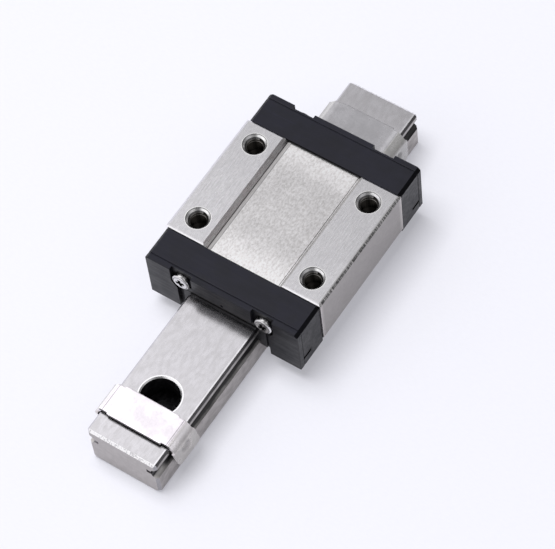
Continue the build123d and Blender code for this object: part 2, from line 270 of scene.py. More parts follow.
    def metallic(self, socket):
        self.link(socket, self.bsdf.inputs["Metallic"])

    def bump(self, height, distance, strength=1.0, under=None):
        node = self.tree.nodes.new("ShaderNodeBump")
        node.inputs["Distance"].default_value = distance
        node.inputs["Strength"].default_value = strength
        self.link(height, node.inputs["Height"])
        if under is not None:
            self.link(under, node.inputs["Normal"])
        self.link(node.outputs["Normal"], self.bsdf.inputs["Normal"])
        return node.outputs["Normal"]


def nearest_hole(shader, x, y, centres):
    """Distance from the axis of the nearest vertical hole."""
    nearest = None
    for c in centres:
        d = shader.distance(x, c.x, y, c.y)
        nearest = d if nearest is None else shader.math("MINIMUM", nearest, d)
    return nearest


# ------------------------------------------------------------------ steel of rail and block
def rail_steel():
    """Ground rail: bright satin top and rougher sides, with painted shade on its sides, ends, ball
    grooves and hole bores, and painted highlights on some edges.
    """
    s = Shader("rail_steel", (0.66, 0.65, 0.67), 0.22, 1.0)
    grain = s.noise(7000, 4, 0.6, (0.05, 1, 1))
    cloud = s.noise(300, 4, 0.55)
    mottle = s.noise(1400, 3, 0.6, (0.5, 1, 1))
    saw = s.noise(3600, 2, 0.6, (1, 1, 0.3))
    x, y, z = s.axes()
    normal_x, normal_y, normal_z = s.normal_axes()
    facing_x = s.size_of(normal_x)
    facing_y = s.size_of(normal_y)
    across = s.size_of(y)
    right = s.fall(y, -HALVES_BLEND, HALVES_BLEND)

    # the top and its long edges, with a painted highlight along the right-hand top edge and painted
    # shade on the right-hand chamfer
    near_top = s.ramp(z, rail_high.z - 0.45 * MM, rail_high.z - 0.35 * MM)
    top = s.all_of(near_top, s.ramp(normal_z, 0.93, 0.97))
    top_edge_highlight = s.all_of(
        top, right, s.band(across, rail_high.y - 0.5 * MM, rail_high.y, 0.05 * MM)
    )
    shaded_chamfer = s.all_of(near_top, s.slanted(facing_y), right)

    # the narrow upright face between the top and the groove, with painted shade near its top and at
    # its foot
    flange_z = GROOVE_Z + 1.2 * MM
    flange = s.all_of(s.square(facing_y), s.ramp(z, flange_z - 0.1 * MM, flange_z), right)
    flange_shadow = s.all_of(
        flange, s.ramp(z, rail_high.z - 0.62 * MM, rail_high.z - 0.45 * MM)
    )
    flange_foot_shade = s.all_of(flange, s.fall(z, flange_z, rail_high.z - 0.75 * MM))

    # the ends, with a bevel round them: a ragged painted highlight along its upper edge and painted
    # shade at its corners
    end_face = s.square(facing_x)
    end_bevel = s.slanted(facing_x)
    end_edge_highlight = s.all_of(end_bevel, s.ramp(normal_z, 0.4, 0.6), s.ramp(saw, 0.40, 0.50))
    end_corner_shade = s.all_of(end_bevel, s.fall(normal_z, 0.2, 0.4))

    # the upright faces at the rail's full width
    side = s.all_of(
        s.square(facing_y), s.ramp(across, rail_high.y - 0.1 * MM, rail_high.y - 0.02 * MM)
    )

    # the grooves in painted shade, but painted lighter along the foot and at the front end, with
    # painted shade in the wire slot
    from_axis = s.distance(across, GROOVE_Y, z, GROOVE_Z)
    groove = s.all_of(
        s.fall(from_axis, GROOVE_RADIUS, GROOVE_RADIUS + 0.05 * MM), s.fall(facing_x, 0.9, 0.97)
    )
    ragged_z = s.plus(z, s.times(s.minus(cloud, 0.5), 0.25 * MM))
    groove_shade = s.any_of(
        s.ramp(ragged_z, GROOVE_Z - 1.24 * MM, GROOVE_Z - 1.08 * MM),
        s.ramp(x, GROOVE_SHADE_X, GROOVE_SHADE_X + 1.5 * MM),
    )
    groove_shade = s.all_of(
        groove_shade, s.ramp(x, rail_low.x + 1.6 * MM, rail_low.x + 3.0 * MM)
    )
    groove_shade = s.any_of(groove_shade, s.fall(across, SLOT_MOUTH_Y, SLOT_MOUTH_Y + 0.15 * MM))

    # the counterbores in painted shade, and their rims with a painted highlight
    hole = nearest_hole(s, x, y, pattern_holes("rail_bolts"))
    shaded_bore = s.all_of(
        s.fall(hole, COUNTERBORE_RADIUS + 0.02 * MM, COUNTERBORE_RADIUS + 0.08 * MM),
        s.fall(z, rail_high.z - 0.25 * MM, rail_high.z - 0.18 * MM),
    )
    rim = s.all_of(
        near_top, s.fall(hole, COUNTERBORE_RADIUS + 0.34 * MM, COUNTERBORE_RADIUS + 0.44 * MM)
    )

    tone = s.mix(s.upper(cloud, 0.2), (0.622, 0.608, 0.628), (0.678, 0.663, 0.687))
    tone = s.mix(s.upper(mottle, 0.18), tone, (0.575, 0.561, 0.576))
    tone = s.mix(s.ramp(grain, 0.45, 0.8, 0, 0.07), tone, (0.56, 0.55, 0.56))
    # painted shade, warm-tinted, on the rail's upright sides and ends
    tone = s.shade(tone, side, RAIL_SIDE_SHADE)
    tone = s.shade(tone, end_face, RAIL_END_SHADE)
    tone = s.tint(tone, s.any_of(side, end_face), (1.0, 0.965, 0.91))
    tone = s.shade(tone, s.all_of(side, s.ramp(mottle, 0.35, 0.7)), 0.80)
    tone = s.shade(tone, flange_shadow, 0.30)
    tone = s.shade(tone, flange_foot_shade, 0.62)
    tone = s.shade(tone, end_corner_shade, 0.52)
    tone = s.shade(tone, shaded_chamfer, 0.42)
    tone = s.shade(tone, top_edge_highlight, 1.30)
    groove_tone = s.mix(groove_shade, (0.48, 0.46, 0.45), (0.050, 0.048, 0.050))
    tone = s.mix(groove, tone, groove_tone)
    tone = s.mix(end_edge_highlight, tone, (0.90, 0.89, 0.90))
    tone = s.mix(rim, tone, (0.97, 0.96, 0.97))
    shaded_bore_tone = s.mix(s.upper(mottle, 0.1), (0.016, 0.015, 0.017), (0.045, 0.044, 0.048))
    s.color(s.mix(shaded_bore, tone, shaded_bore_tone))

    rough = s.plus(s.ramp(grain, 0.25, 0.75, 0.20, 0.24), s.ramp(cloud, 0.3, 0.7, -0.01, 0.02))
    rough = s.plus(rough, s.times(s.plus(side, end_face), 0.16))
    s.roughness(s.math("ADD", rough, s.times(shaded_bore, 0.5), clamp=True))
    s.metallic(s.fall(groove, 0.0, 1.0, 0.35))
    fine = s.bump(grain, 0.0003 * MM, 0.2)
    s.bump(mottle, 0.0015 * MM, 0.2, fine)
    return s.material


def block_steel():
    """Ground block: satin lands, a rough milled channel and rougher sides, with painted light on its
    sides, walls, edges and holes.
    """
    s = Shader("block_steel", (0.66, 0.65, 0.66), 0.3, 1.0)
    grain = s.noise(6500, 3, 0.6, (0.08, 1, 1))
    cloud = s.noise(260, 3, 0.5)
    mottle = s.noise(2900, 5, 0.65, (0.6, 1, 1), 0.3)
    speck = s.noise(3400, 3, 0.6, (0.6, 1, 1))
    glint = s.noise(5200, 2, 0.6)
    broken = s.noise(800, 2, 0.6)
    chatter = s.noise(7500, 4, 0.8, (1, 0.05, 0.05))
    x, y, z = s.axes()
    _, normal_y, normal_z = s.normal_axes()
    facing_y = s.size_of(normal_y)
    left = s.ramp(y, -HALVES_BLEND, HALVES_BLEND)
    right = s.fall(y, -HALVES_BLEND, HALVES_BLEND)
    across = s.size_of(s.minus(y, block_centre.y))
    to_end = s.minus(block_size.x / 2, s.size_of(s.minus(x, block_centre.x)))
    near_top = s.ramp(z, block_high.z - 0.02 * MM, block_high.z - 0.01 * MM)
    above_floor = s.ramp(z, block_high.z - 1.2 * MM, block_high.z - 1.05 * MM)

    # the sunken middle, its sloping walls with the left one painted lit and the right one painted in
    # shade, and the relief line at the left wall's foot with painted shade lines along it
    channel = s.all_of(
        s.fall(across, RECESS_HALF - 0.02 * MM, RECESS_HALF), above_floor, s.square(normal_z)
    )
    wall = s.all_of(
        s.band(facing_y, 0.6, 0.9, 0.05), above_floor,
        s.fall(across, RECESS_HALF + 1.65 * MM, RECESS_HALF + 1.85 * MM),
    )
    lit_left_wall = s.all_of(wall, left)
    shaded_right_wall = s.all_of(wall, right)
    foot = s.all_of(
        s.band(across, RECESS_HALF - 0.60 * MM, RECESS_HALF - 0.02 * MM, 0.03 * MM),
        above_floor, left,
    )
    foot_shade_lines = s.all_of(
        s.any_of(
            s.band(across, RECESS_HALF - 0.66 * MM, RECESS_HALF - 0.60 * MM, SHARP),
            s.band(across, RECESS_HALF - 0.05 * MM, RECESS_HALF + 0.03 * MM, SHARP),
        ),
        above_floor, left,
    )

    # the sides in painted shade with a painted highlight near their ends, the long right-hand edge
    # in painted shade with its chatter marks, and the end edges with a painted highlight
    side = s.ramp(facing_y, 0.93, 0.98)
    side_end_highlight = s.all_of(side, s.fall(to_end, 0.35 * MM, 0.8 * MM))
    shaded_edge = s.all_of(
        s.slanted(facing_y), above_floor, right,
        s.ramp(across, block_high.y - 1.0 * MM, block_high.y - 0.7 * MM),
    )
    edge_marks = s.all_of(
        shaded_edge, s.ramp(chatter, 0.43, 0.50),
        s.fall(z, block_high.z - 0.16 * MM, block_high.z - 0.08 * MM),
    )
    end_edge_highlight = s.fall(to_end, 0.12 * MM, 0.22 * MM)

    # the threaded holes, from the land inwards: a painted highlight round the mouth and, broken, on
    # the cone, a painted shade ring, painted shade in the bore and painted highlights on the thread
    # crests
    hole = nearest_hole(s, x, y, pattern_holes("carriage_bolts"))
    countersunk = s.band(normal_z, 0.3, 0.9, 0.05)
    hole_rim_highlight = s.all_of(
        near_top, s.fall(hole, TAP_MOUTH_RADIUS + 0.08 * MM, TAP_MOUTH_RADIUS + 0.15 * MM)
    )
    cone_shade_ring = s.all_of(
        s.band(hole, TAP_MOUTH_RADIUS - 0.08 * MM, TAP_MOUTH_RADIUS + 0.07 * MM, SHARP),
        countersunk,
    )
    cone = s.all_of(
        s.band(hole, TAP_RADIUS + 0.04 * MM, TAP_MOUTH_RADIUS - 0.10 * MM, SHARP), countersunk
    )
    shaded_bore = s.all_of(
        s.fall(hole, TAP_RADIUS, TAP_RADIUS + 0.06 * MM),
        s.fall(z, block_high.z - 0.9 * MM, block_high.z - 0.35 * MM, 0.8),
    )
    crest = s.all_of(
        s.fall(hole, TAP_CREST_RADIUS + 0.03 * MM, TAP_CREST_RADIUS + 0.09 * MM), above_floor
    )

    land = s.mix(s.upper(cloud, 0.2), (0.705, 0.692, 0.708), (0.765, 0.752, 0.768))
    land = s.mix(s.upper(mottle, 0.15), land, (0.655, 0.643, 0.658))
    land = s.mix(s.ramp(grain, 0.4, 0.8, 0, 0.12), land, (0.55, 0.54, 0.55))
    milled = s.mix(s.upper(mottle, 0.17), (0.655, 0.635, 0.627), (0.905, 0.887, 0.891))
    milled = s.shade(milled, s.upper(cloud, 0.12), 0.93)
    # painted glints: bright specks on the milled floor
    milled = s.mix(s.ramp(glint, 0.58, 0.70, 0, 0.7), milled, (1.0, 0.99, 0.99))
    milled = s.shade(milled, s.fall(x, block_low.x, block_low.x + 7 * MM), 1.32)
    milled = s.shade(milled, s.ramp(x, block_high.x - 6 * MM, block_high.x), 1.25)
    tone = s.mix(channel, land, milled)
    tone = s.mix(s.ramp(speck, 0.60, 0.74, 0, 0.35), tone, (0.36, 0.35, 0.34))
    # painted shade, warm-tinted, on the block's sides
    tone = s.shade(tone, side, BLOCK_SIDE_SHADE)
    tone = s.tint(tone, side, (0.97, 0.935, 0.89))
    tone = s.shade(tone, side_end_highlight, 1.28)
    tone = s.shade(tone, lit_left_wall, s.ramp(grain, 0.3, 0.7, 1.2, 1.6))
    tone = s.tint(tone, lit_left_wall, (1.0, 0.96, 0.94))
    foot_tone = s.mix(s.upper(grain, 0.2), (0.26, 0.25, 0.25), (0.36, 0.35, 0.35))
    tone = s.mix(foot, tone, foot_tone)
    tone = s.shade(tone, foot_shade_lines, 0.45)
    tone = s.mix(shaded_right_wall, tone, (0.34, 0.33, 0.33))
    tone = s.mix(shaded_edge, tone, (0.46, 0.45, 0.45))
    tone = s.shade(tone, edge_marks, 0.12)
    tone = s.shade(tone, end_edge_highlight, 1.35)
    tone = s.mix(hole_rim_highlight, tone, (0.95, 0.94, 0.93))
    cone_highlight = s.all_of(cone, s.ramp(broken, 0.40, 0.56, 0.15, 1.0))
    tone = s.mix(cone_highlight, tone, (0.97, 0.96, 0.95))
    tone = s.shade(tone, cone_shade_ring, 0.35)
    tone = s.mix(shaded_bore, tone, (0.020, 0.018, 0.016))
    s.color(s.mix(crest, tone, (0.20, 0.19, 0.18)))

    metal = s.fall(s.any_of(foot, shaded_right_wall, shaded_edge), 0.0, 1.0, 0.25)
    channel_end = s.all_of(channel, s.fall(to_end, 0.0, 6 * MM))
    s.metallic(s.minus(metal, s.times(channel_end, 0.06)))
    rough = s.plus(s.ramp(grain, 0.25, 0.75, 0.25, 0.31), s.times(channel, 0.07))
    s.roughness(s.plus(rough, s.times(side, 0.12)))
    fine = s.bump(grain, 0.0003 * MM, 0.3)
    s.bump(s.times(mottle, s.ramp(channel, 0, 1, 0.15, 1.0)), 0.010 * MM, 0.5, fine)
    return s.material


# ------------------------------------------------------------------ the other materials
def sheet_steel(name, tones, metallic, crease_y, crease_band, painted_crease_gain, painted_rim_gain):
    """Bent clip with painted light: lit and shaded tones on top, slopes and legs, and painted shade
    inside.

    The crease's band is given as its start and end inside the crease and its soft width.
    """
    top_tone, slope_high, slope_low, leg_tone = tones
    inner, outer, soft = crease_band
    s = Shader(name, top_tone, 0.3, metallic)
    cloud = s.noise(420, 4, 0.6)
    pit_and_glint = s.noise(2600, 3, 0.6)
    draw = s.noise(1500, 3, 0.6, (1, 1, 0.25))
    _, y, z = s.axes()
    normal_x, normal_y, normal_z = s.normal_axes()
    facing_x = s.size_of(normal_x)
    facing_y = s.size_of(normal_y)
    outward = s.times(normal_y, s.math("SIGN", y))
    # painted shade on the underside and the inward-facing faces
    inside = s.any_of(s.fall(normal_z, -0.6, -0.4), s.fall(outward, -0.6, -0.4))
    # painted light along the crease: painted shade where its gain is below 1, painted highlight
    # where above
    crease = s.all_of(
        s.band(s.size_of(y), crease_y - inner, crease_y - outer, soft),
        s.ramp(normal_z, 0.8, 0.95),
    )
    # painted light on the cut front and back edges: painted shade where its gain is below 1, painted
    # highlight where above
    rim = s.all_of(
        s.ramp(facing_x, 0.8, 0.95), s.ramp(z, rail_high.z + 0.2 * MM, rail_high.z + 0.3 * MM)
    )
    # painted highlight on the legs' cut edges
    leg_edge_highlight = s.all_of(
        s.ramp(facing_x, 0.6, 0.8), s.fall(z, rail_high.z - 0.4 * MM, rail_high.z)
    )

    # painted light: the slopes go from their high tone at the top down to their low tone at the leg
    up_slope = s.ramp(z, rail_high.z - 0.55 * MM, rail_high.z + 0.45 * MM)
    slope_tone = s.mix(up_slope, slope_low, slope_high)
    tone = s.mix(s.ramp(facing_y, 0.25, 0.6), top_tone, slope_tone)
    tone = s.mix(s.ramp(facing_y, 0.88, 0.97), tone, leg_tone)
    tone = s.shade(tone, s.upper(cloud, 0.12), 0.87)
    tone = s.shade(tone, s.all_of(s.ramp(facing_y, 0.8, 0.95), s.upper(draw, 0.2)), 0.88)
    tone = s.shade(tone, s.upper(pit_and_glint, 0.15), 0.93)
    # scratches with painted glints
    tone = s.mix(s.ramp(pit_and_glint, 0.66, 0.76, 0, 0.6), tone, (0.90, 0.88, 0.87))
    tone = s.shade(tone, crease, painted_crease_gain)
    tone = s.shade(tone, rim, painted_rim_gain)
    tone = s.mix(leg_edge_highlight, tone, (0.95, 0.93, 0.91))
    s.color(s.mix(inside, tone, (0.05, 0.05, 0.05)))
    s.roughness(s.ramp(cloud, 0.3, 0.7, 0.24, 0.34))
    broad = s.bump(cloud, 0.02 * MM, 0.4)
    s.bump(pit_and_glint, 0.004 * MM, 0.5, broad)
    return s.material


def cap_plastic():
    """Black glass-filled moulding with fine flow streaks across the carriage, with painted light:
    lighter tops, black lines of painted shade and painted shade on the end faces.
    """
    s = Shader("cap_plastic", (0.03, 0.031, 0.036), 0.45, 0.0, Specular_IOR_Level=0.36)
    grain = s.noise(9000, 3, 0.6)
    cloud = s.noise(350, 4, 0.6)
    streak = s.noise(2200, 3, 0.6, (1, 0.05, 1))
    x, y, z = s.axes()
    normal_x, normal_y, normal_z = s.normal_axes()
    across = s.size_of(y)
    off_centre = s.size_of(s.minus(x, block_centre.x))
    end_face = s.square(s.size_of(normal_x))
    facing_y = s.size_of(normal_y)
    side_face = s.square(facing_y)
    up = s.ramp(normal_z, 0.8, 0.95)
    end_face_shade = s.all_of(end_face, s.fall(y, *CAP_END_SHADE_Y))

    # painted shade: black lines in the joints with the block and the seal plate, in the slots, on
    # the chamfers and round the screw pockets
    block_end = block_size.x / 2
    gap = s.fall(off_centre, block_end + 0.05 * MM, block_end + 0.15 * MM)
    side_gap = s.all_of(
        side_face, s.fall(off_centre, block_end + 0.2 * MM, block_end + 0.32 * MM)
    )
    from_screw = s.distance(across, screw_at.y, z, screw_at.z)
    well = s.all_of(
        end_face,
        s.fall(from_screw, SCREW_HEAD_RADIUS + 0.25 * MM, SCREW_HEAD_RADIUS + 0.45 * MM),
    )
    slot = s.all_of(
        s.ramp(across, CAP_SIDE_Y - 0.8 * MM, CAP_SIDE_Y - 0.7 * MM),
        s.band(z, CAP_SLOT_Z - CAP_SLOT_HALF, CAP_SLOT_Z + CAP_SLOT_HALF, SHARP),
        s.band(off_centre, CAP_JOINT_X - CAP_SLOT_LENGTH, CAP_JOINT_X, SHARP),
    )
    rear_joint = s.all_of(
        side_face,
        s.band(off_centre, CAP_JOINT_X - 0.12 * MM, CAP_JOINT_X + 0.12 * MM, 0.05 * MM),
        s.ramp(x, block_centre.x, block_high.x),
    )
    shaded_chamfer = s.all_of(s.slanted(facing_y), s.ramp(normal_z, 0.3, 0.5))
    black = s.any_of(gap, side_gap, well, slot, rear_joint, s.times(shaded_chamfer, 0.7))

    tone = s.mix(s.upper(cloud, 0.2), (0.0042, 0.0042, 0.0070), (0.0065, 0.0065, 0.0108))
    # painted light: faces turned up are lighter
    tone = s.shade(tone, up, 1.45)
    tone = s.shade(tone, black, 0.2)
    s.color(s.shade(tone, s.ramp(streak, 0.6, 0.75), 1.5))
    # painted shade: metal this dark reflects less than plastic does
    s.metallic(s.any_of(s.times(end_face_shade, 0.62), black))
    s.roughness(s.plus(
        s.ramp(cloud, 0.3, 0.7, 0.38, 0.5), s.ramp(streak, 0.3, 0.7, -0.06, 0.06)
    ))
    fine = s.bump(grain, 0.004 * MM, 0.6)
    s.bump(streak, 0.008 * MM, 0.35, fine)
    return s.material


def seal_rubber():
    """Matt black rubber, with two blacker lines of painted shade along the wiper."""
    s = Shader("seal_rubber", (0.014, 0.014, 0.015), 0.5, 0.0, Specular_IOR_Level=0.45)
    grain = s.noise(7000, 3, 0.6)
    _, _, z = s.axes()
    lines = s.any_of(*(s.band(z, low, high, SHARP) for low, high in WIPER_SHADE_LINES_Z))
    rubber = s.mix(grain, (0.012, 0.012, 0.014), (0.026, 0.026, 0.030))
    s.color(s.mix(lines, rubber, (0.001, 0.001, 0.001)))
    s.metallic(lines)
    s.roughness(s.ramp(grain, 0.3, 0.7, 0.42, 0.6))
    s.bump(grain, 0.005 * MM, 0.5)
    return s.material


def guide_plastic():
    """Dark grey plastic of the ball return guides, inside the caps."""
    s = Shader("guide_plastic", (0.05, 0.05, 0.052), 0.5, 0.0)
    grain = s.noise(5000, 3, 0.6)
    s.color(s.mix(grain, (0.04, 0.04, 0.042), (0.07, 0.07, 0.072)))
    s.bump(grain, 0.004 * MM, 0.5)
    return s.material


def bright_metal(name, color, roughness, scale):
    """Plain metal with fine scratches."""
    s = Shader(name, color, roughness, 1.0)
    scratch = s.noise(scale, 3, 0.6, (1, 1, 0.2))
    s.color(s.mix(scratch, color, tuple(0.86 * c for c in color)))
    s.roughness(s.ramp(scratch, 0.3, 0.7, roughness * 0.8, roughness * 1.3))
    s.bump(scratch, 0.002 * MM, 0.4)
    return s.material


# painted light: lit and shaded tones of one clip steel, for top, slope near the top, slope near the
# leg, leg
FRONT_CLIP_LIT_TONES = ((0.955, 0.90, 0.955), (1.0, 0.96, 0.96), (0.46, 0.44, 0.43), (0.60, 0.575, 0.55))
REAR_CLIP_SHADED_TONES = ((0.37, 0.363, 0.38), (0.56, 0.55, 0.54), (0.40, 0.39, 0.38), (0.60, 0.59, 0.575))

MATERIALS = {
    "rail_steel": rail_steel(),
    "block_steel": block_steel(),
    # the front clip gets the lit copy of the clip steel
    "sheet_steel": sheet_steel(
        "sheet_steel", FRONT_CLIP_LIT_TONES, metallic=0.6, crease_y=CLIP_CREASE_Y["front_clip"],
        crease_band=(0.42 * MM, 0.34 * MM, 0.06 * MM), painted_crease_gain=0.5, painted_rim_gain=0.12,
    ),
    "cap_plastic": cap_plastic(),
    "seal_rubber": seal_rubber(),
    "guide_plastic": guide_plastic(),
    "ball_steel": bright_metal("ball_steel", (0.75, 0.75, 0.77), 0.08, 3000),
    "screw_plating": bright_metal("screw_plating", (0.74, 0.73, 0.73), 0.22, 5000),
    "spring_wire": bright_metal("spring_wire", (0.55, 0.55, 0.56), 0.3, 6000),
}
# painted shade: dark metal for the inside of the screws' cross recesses
SCREW_RECESS_SHADE = bright_metal("screw_recess_shade", (0.045, 0.044, 0.046), 0.4, 5000)
# the rear clip gets the shaded copy of the same steel, with painted highlights along its crease and
# edges
SHADED_SHEET_COPY = sheet_steel(
    "sheet_steel_shaded_copy", REAR_CLIP_SHADED_TONES, metallic=0.45, crease_y=CLIP_CREASE_Y["rear_clip"],
    crease_band=(0.45 * MM, 0.1 * MM, 0.6 * MM), painted_crease_gain=1.3, painted_rim_gain=1.6,
)
CLIP_MATERIALS = {"front_clip": MATERIALS["sheet_steel"], "rear_clip": SHADED_SHEET_COPY}

for part in frame["record"]["subparts"]:
    mesh = nodes[part["node"]].data
    mesh.materials.clear()
    mesh.materials.append(CLIP_MATERIALS.get(part["node"], MATERIALS[part["material_slot"]]))


# ------------------------------------------------------------------ mesh helpers
def new_object(name, data):
    """Object made of the given data, linked to the scene."""
    made = bpy.data.objects.new(name, data)
    bpy.context.scene.collection.objects.link(made)
    return made


def add_piece(name, mesh, material, body):
    """Put a mesh in the scene as a piece that rides on a body."""
    mesh.materials.clear()
    mesh.materials.append(material)
    piece = new_object(name, mesh)
    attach(piece, body)
    return piece


def mesh_from(bm, name):
    """Turn a bmesh into a mesh and free it."""
    mesh = bpy.data.meshes.new(name)
    bm.to_mesh(mesh)
    bm.free()
    return mesh


def grid_mesh(name, rows, wrap=False):
    """Mesh of quads over rows of points; wrap closes every row on itself."""
    columns = len(rows[0])
    points = [point for row in rows for point in row]
    faces = []
    for i in range(len(rows) - 1):
        here, there = i * columns, (i + 1) * columns
        for j in range(columns if wrap else columns - 1):
            k = (j + 1) % columns
            faces.append((here + j, there + j, there + k, here + k))
    mesh = bpy.data.meshes.new(name)
    mesh.from_pydata(points, [], faces)
    return mesh


def cap_ends(mesh):
    """Close the open ends of a tube and turn its faces outward."""
    bm = bmesh.new()
    bm.from_mesh(mesh)
    bmesh.ops.holes_fill(bm, edges=[e for e in bm.edges if e.is_boundary])
    bmesh.ops.recalc_face_normals(bm, faces=bm.faces)
    bm.to_mesh(mesh)
    bm.free()


def smooth_but_sharp(mesh, degrees):
    """Shade smooth, except across edges that turn by more than an angle."""
    mesh.polygons.foreach_set("use_smooth", [True] * len(mesh.polygons))
    mesh.set_sharp_from_angle(angle=math.radians(degrees))


def finished(source, *modifiers, degrees=32):
    """Mesh of a temporary object with modifiers applied, smooth but for its sharp edges."""
    holder = new_object("holder", source)
    for kind, settings in modifiers:
        modifier = holder.modifiers.new(kind.lower(), kind)
        for key, value in settings.items():
            setattr(modifier, key, value)
    evaluated = holder.evaluated_get(bpy.context.evaluated_depsgraph_get())
    mesh = bpy.data.meshes.new_from_object(evaluated)
    smooth_but_sharp(mesh, degrees)
    bpy.data.objects.remove(holder)
    return mesh


def cut_with(source, operation, tool, use_self=False, degrees=32):
    """Mesh after a boolean with a tool mesh."""
    cutter = new_object("cutter", tool)
    boolean = {"object": cutter, "operation": operation, "solver": "EXACT", "use_self": use_self}
    mesh = finished(source, ("BOOLEAN", boolean), degrees=degrees)
    bpy.data.objects.remove(cutter)
    return mesh


# ------------------------------------------------------------------ rail-end clips
CLIP_SHEET = 0.45 * MM
CLIP_SHOULDER_Z = 7.3 * MM
CLIP_LEAN = {"front_clip": 0.8 * MM, "rear_clip": 0.0}
CLIP_RADII = (1.2 * MM, 0.5 * MM, 0.5 * MM, 1.2 * MM)
CLIP_FOOT_CORNER = 0.9 * MM
CLIP_NOTCH = 0.25 * MM
CLIP_NOTCH_FROM_Y = 4.7 * MM
CLIP_EDGE_BEVEL = 0.05 * MM
DIMPLE_RADIUS = 1.4 * MM
DIMPLE_DEPTH = 0.5 * MM
DIMPLE_LEAN = 0.35                  # share of the leg's lean at the dimple's height
CLIP_STEP = 0.16 * MM
BEND_STEPS = 10


def rounded_path(corners, radii, step):
    """Points about a step apart along an open line whose inner corners are round."""
    line = [corners[0]]
    for before, corner, after, radius in zip(corners, corners[1:], corners[2:], radii):
        back = (before - corner).normalized()
        ahead = (after - corner).normalized()
        half = back.angle(ahead) / 2
        centre = corner + (back + ahead).normalized() * radius / math.sin(half)
        spoke = corner + back * radius / math.tan(half) - centre
        axis = spoke.cross(corner + ahead * radius / math.tan(half) - centre)
        turn = math.pi - 2 * half
        line += [
            centre + Matrix.Rotation(turn * i / BEND_STEPS, 3, axis) @ spoke
            for i in range(BEND_STEPS + 1)
        ]
    line.append(corners[-1])
    spaced = []
    for a, b in zip(line, line[1:]):
        count = max(1, round((b - a).length / step))
        spaced += [a.lerp(b, i / count) for i in range(count)]
    return spaced + [line[-1]]


def clip_mesh(node):
    """Sheet bent over the rail, with rounded leg corners and a pressed dimple in each leg."""
    low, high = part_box(node)
    lean = CLIP_LEAN[node]
    start = low.x
    length = high.x - low.x - lean
    side, top, foot = high.y, high.z, low.z
    corners = [(side, foot), (side, CLIP_SHOULDER_Z), (CLIP_CREASE_Y[node], top)]
    corners += [(-y, z) for y, z in reversed(corners)]
    section = rounded_path([Vector((0, y, z)) for y, z in corners], CLIP_RADII, CLIP_STEP)
    columns = round(length / CLIP_STEP)
    dimple_x = start + length / 2
    rows = []
    for point in section:
        drop = max(0.0, CLIP_SHOULDER_Z - point.z)
        shift = lean * drop / (CLIP_SHOULDER_Z - foot)
        corner = max(0.0, CLIP_FOOT_CORNER - (point.z - foot))
        inset = CLIP_FOOT_CORNER - math.sqrt(CLIP_FOOT_CORNER ** 2 - corner ** 2)
        if abs(point.y) > CLIP_NOTCH_FROM_Y and drop == 0.0:
            inset = CLIP_NOTCH
        row = []
        for j in range(columns + 1):
            x = start + shift + inset + (length - 2 * inset) * j / columns
            away = math.hypot(x - dimple_x - lean * DIMPLE_LEAN, point.z - GROOVE_Z)
            press = 0.0
            if drop and away < DIMPLE_RADIUS:
                press = DIMPLE_DEPTH * (0.5 + 0.5 * math.cos(math.pi * away / DIMPLE_RADIUS))
            row.append((x, point.y - math.copysign(press, point.y), point.z))
        rows.append(row)
    bevel = {
        "width": CLIP_EDGE_BEVEL, "segments": 2,
        "limit_method": "ANGLE", "angle_limit": math.radians(60),
    }
    return finished(
        grid_mesh(node, rows),
        ("SOLIDIFY", {"thickness": CLIP_SHEET, "offset": -1.0}),
        ("BEVEL", bevel),
    )


for node, material in CLIP_MATERIALS.items():
    clip = add_piece(f"{node}_sheet", clip_mesh(node), material, node)
    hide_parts(node)


# ------------------------------------------------------------------ screws and threads
SCREW_HEAD_HEIGHT = 0.8 * MM
HEAD_CROWN = 0.35 * MM              # round shoulder of the head
HEAD_EDGE = 0.05 * MM               # bevel round its underside
SCREW_LENGTH = 9.7 * MM
SCREW_MAJOR = 0.98 * MM             # radius over the crests
SCREW_MINOR = 0.78 * MM
SCREW_PITCH = 0.4 * MM
SCREW_SPINS = (("left", 0.22), ("right", 0.4))      # how far each recess is turned
RECESS_LENGTH = 1.8 * MM
RECESS_WIDTH = 0.6 * MM
RECESS_DEPTH = 0.6 * MM
RECESS_TAPER = (0.45, 0.7)          # length and width at its bottom, as shares of those above
RECESS_REACH = 1.2 * MM             # its faces lie within this radius
CUTTER_RISE = 0.2 * MM              # the cutter's height over the head
SCREW_SHARP_DEGREES = 38
TAP_PITCH = 0.5 * MM
TAP_DEPTH = 2.6 * MM
TAP_START = 0.55 * MM               # depth of the ridge's start under the land
TAP_FLANK = 0.42                    # half the ridge's height in pitches
OVERLAP = 0.02 * MM                 # how far joined pieces reach into each other


def ring(x, radius, around):
    """Points of a circle about the X axis."""
    angles = [2 * math.pi * j / around for j in range(around)]
    return [(x, radius * math.cos(angle), radius * math.sin(angle)) for angle in angles]


def thread_rows(length, major, minor, pitch, per_pitch=6, around=20):
    """Surface of a thread along +X from x = 0, tapering to its core at both ends."""
    rows = []
    count = round(length / pitch * per_pitch)
    for i in range(count + 1):
        along = length * i / count
        fade = min(1.0, along / pitch, (length - along) / pitch)
        row = []
        for j in range(around):
            phase = (along / pitch - j / around) % 1.0
            ridge = 1 - abs(2 * phase - 1)
            radius = minor + (major - minor) * ridge * fade
            angle = 2 * math.pi * j / around
            row.append((along, radius * math.cos(angle), radius * math.sin(angle)))
        rows.append(row)
    return rows


def head_rows(radius, height, around=48, arc_steps=6):
    """Low pan head along +X: straight rim, rounded shoulder, slightly domed face."""
    profile = [(0.0, radius * 0.6), (0.0, radius - HEAD_EDGE), (HEAD_EDGE, radius)]
    for i in range(arc_steps + 1):
        angle = math.pi / 2 * i / arc_steps
        profile.append((
            height - HEAD_CROWN + HEAD_CROWN * math.sin(angle) * 0.85,
            radius - HEAD_CROWN + HEAD_CROWN * math.cos(angle),
        ))
    profile += [(height - 0.02 * MM, radius * 0.55), (height, 0.02 * MM)]
    return [ring(x, r, around) for x, r in profile]


